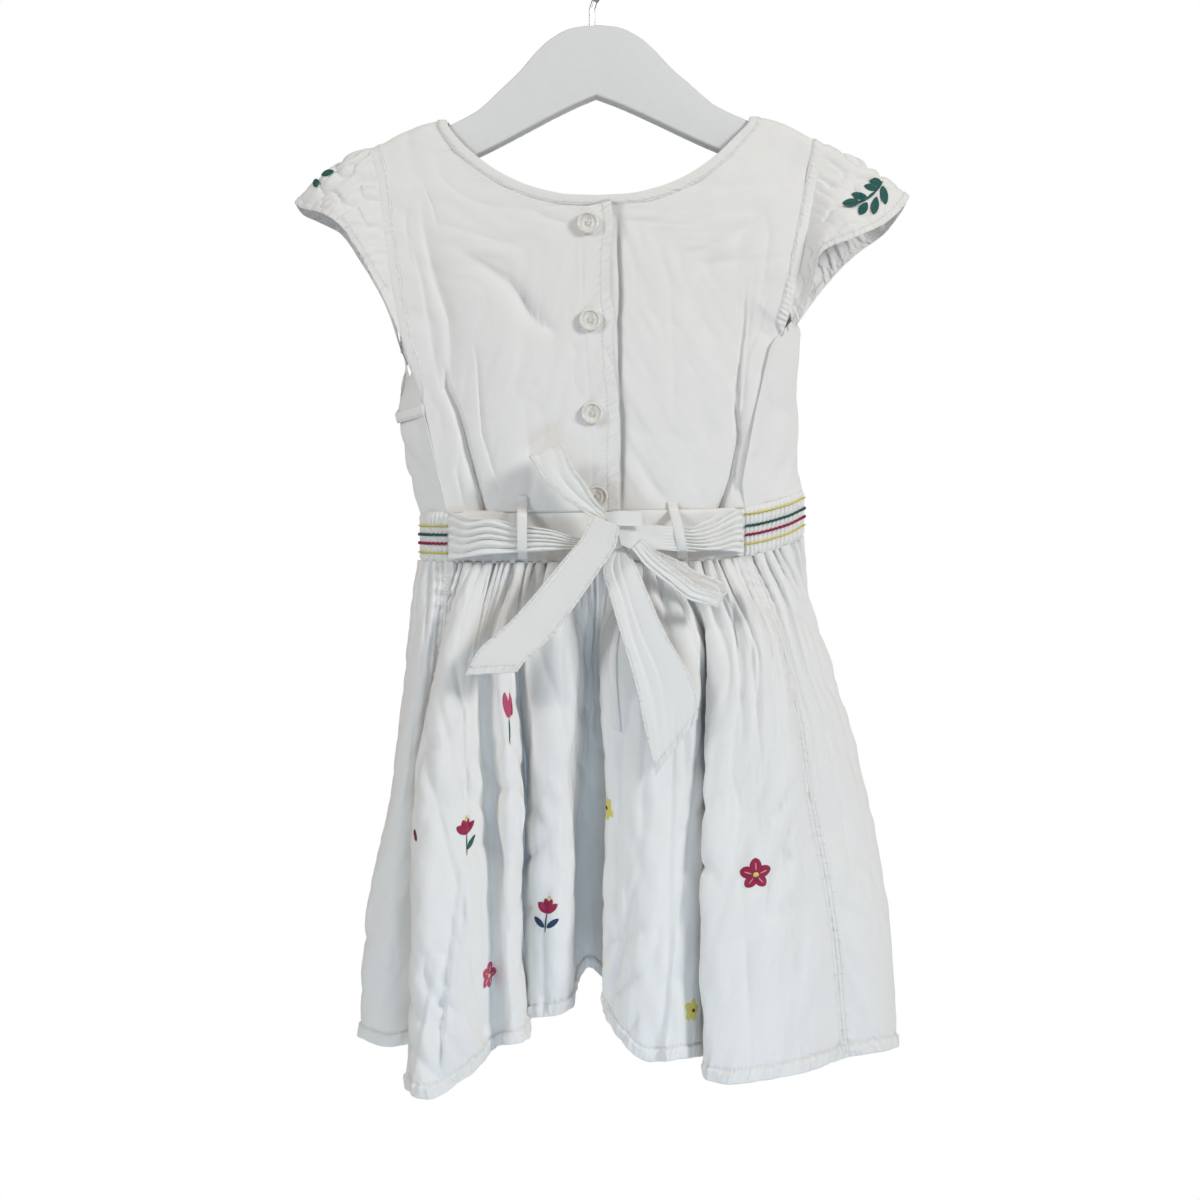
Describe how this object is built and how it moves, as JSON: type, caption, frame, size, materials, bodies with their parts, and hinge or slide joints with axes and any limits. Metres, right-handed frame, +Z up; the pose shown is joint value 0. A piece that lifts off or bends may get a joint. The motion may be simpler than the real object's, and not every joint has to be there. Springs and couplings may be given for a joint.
{
  "type": "toddler dress on a hanger",
  "caption": "White cotton toddler dress with flutter sleeves, smocked waist, tied sash bow and gathered skirt, hung on a child's wooden hanger.",
  "frame": {"origin": "inside top of the hanger's hook, where the rail bears", "axes": "+Z up; the buttoned back of the dress faces -Y, its smocked front faces +Y; +X is to the right when the back is looked at"},
  "size_m": [0.344, 0.126, 0.6463],
  "materials": {
    "cotton": "plain weave, washed",
    "smocked_cotton": "plain weave, smocked with coloured thread",
    "pearl_button": "pearly",
    "painted_wood": "white satin paint",
    "steel_wire": "drawn wire"
  },
  "bodies": {
    "root": {"armhole_band_left": "cotton", "armhole_band_right": "cotton", "belt_loop_left": "cotton", "belt_loop_right": "cotton", "bodice_back_left": "cotton", "bodice_back_right": "cotton", "bodice_front": "cotton", "bow_loop_lower": "cotton", "bow_loop_upper": "cotton", "button_1": "pearl_button", "button_2": "pearl_button", "button_3": "pearl_button", "button_4": "pearl_button", "hanger_board": "painted_wood", "hanger_hook": "steel_wire", "neck_binding": "cotton", "placket": "cotton", "sash_flap": "cotton", "sash_knot": "cotton", "sash_run_left": "cotton", "sash_run_right": "cotton", "sash_tail_left": "cotton", "sash_tail_right": "cotton", "skirt_back": "cotton", "skirt_front": "cotton", "sleeve_left": "cotton", "sleeve_right": "cotton", "waistband_back": "cotton", "waistband_front": "smocked_cotton"}
  },
  "joints": []
}
